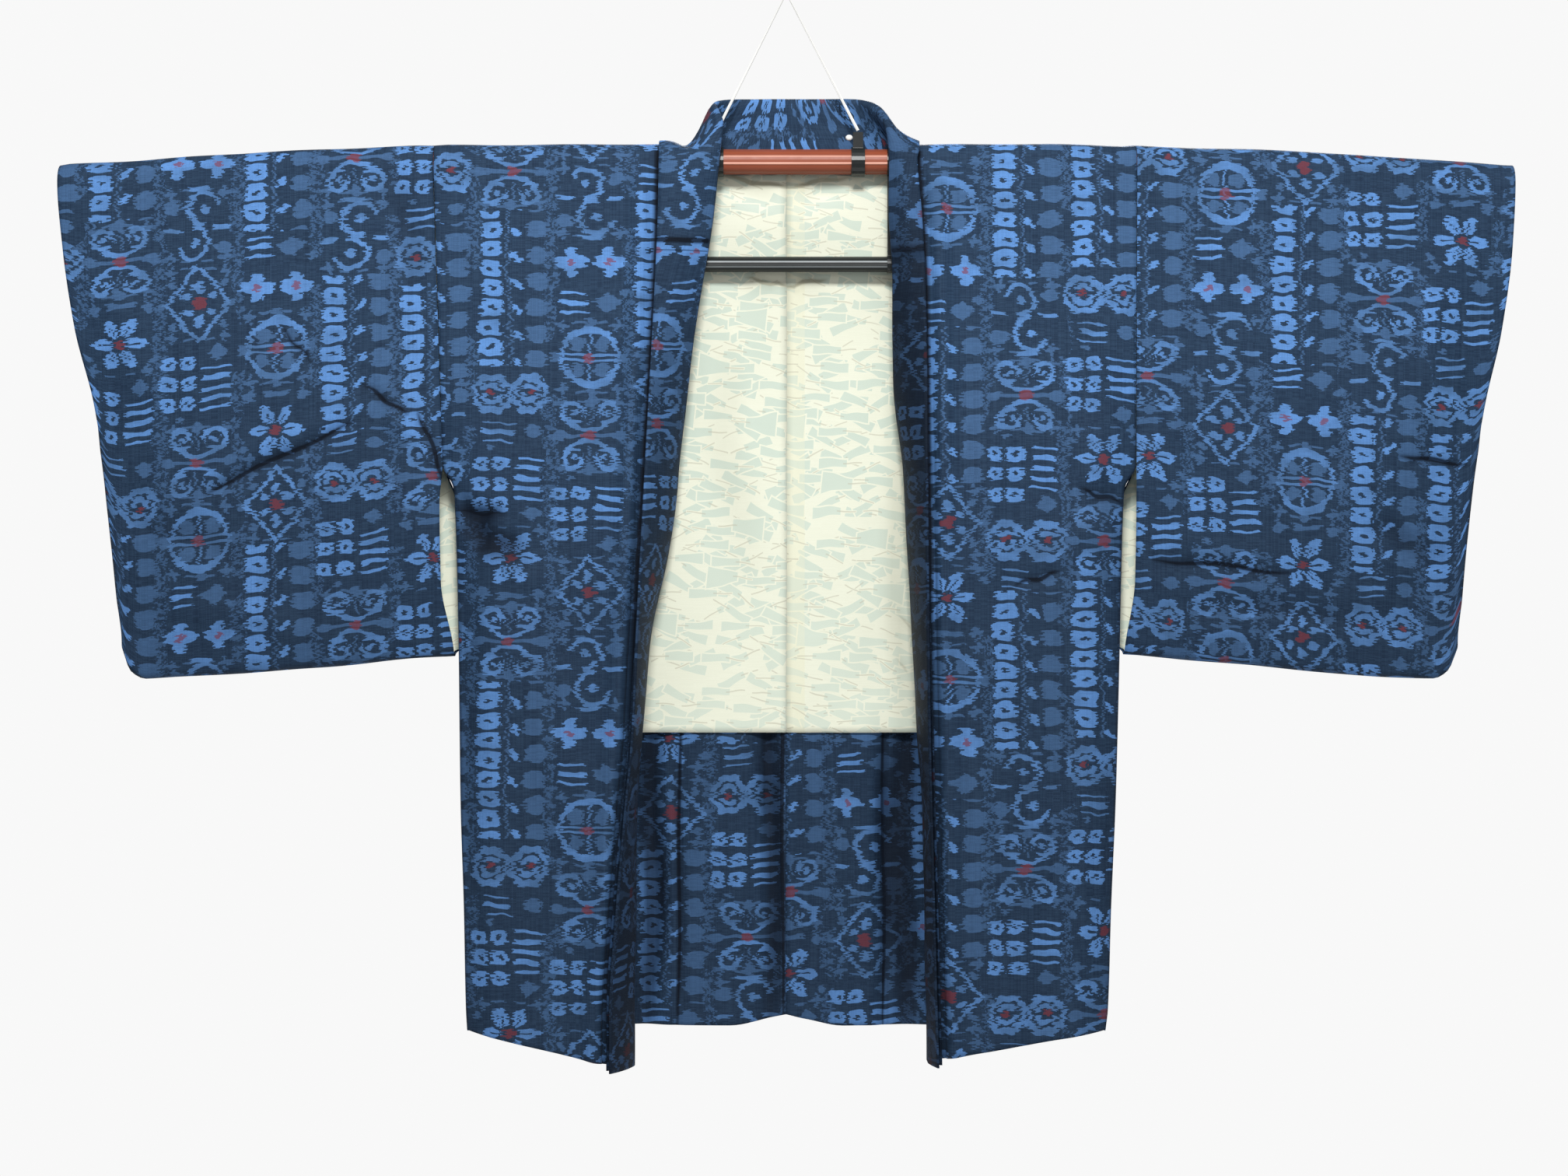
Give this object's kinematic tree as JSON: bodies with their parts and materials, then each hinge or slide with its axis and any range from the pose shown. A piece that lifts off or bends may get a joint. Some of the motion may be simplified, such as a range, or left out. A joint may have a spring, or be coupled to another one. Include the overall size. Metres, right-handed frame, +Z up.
{
  "type": "haori jacket on a kimono hanger",
  "caption": "Open-fronted haori jacket with wide square sleeves, folded collar band and cream lining, hanging on a two-bar kimono hanger.",
  "frame": {"origin": "hang point: inner top of the hanger's hook, where a rail holds it", "axes": "+X to the right of someone who looks at the open front, +Y from the front towards the back, +Z up"},
  "size_m": [1.296, 0.0905, 1.0169],
  "materials": {
    "kasuri_cloth": "woven silk pongee, blue ikat on charcoal indigo",
    "lining_silk": "smooth silk, cream with pale green shapes",
    "bar_red": "gloss",
    "black_plastic": "satin",
    "white_wire": "white coated wire"
  },
  "bodies": {
    "root": {"left_body": "kasuri_cloth", "right_body": "kasuri_cloth", "left_gusset": "kasuri_cloth", "right_gusset": "kasuri_cloth", "left_sleeve": "kasuri_cloth", "right_sleeve": "kasuri_cloth", "collar": "kasuri_cloth", "left_lining": "lining_silk", "right_lining": "lining_silk", "left_sleeve_lining": "lining_silk", "right_sleeve_lining": "lining_silk", "upper_bar": "bar_red", "lower_bar": "black_plastic", "left_clip": "black_plastic", "right_clip": "black_plastic", "left_link": "black_plastic", "right_link": "black_plastic", "hook": "white_wire"}
  },
  "joints": []
}
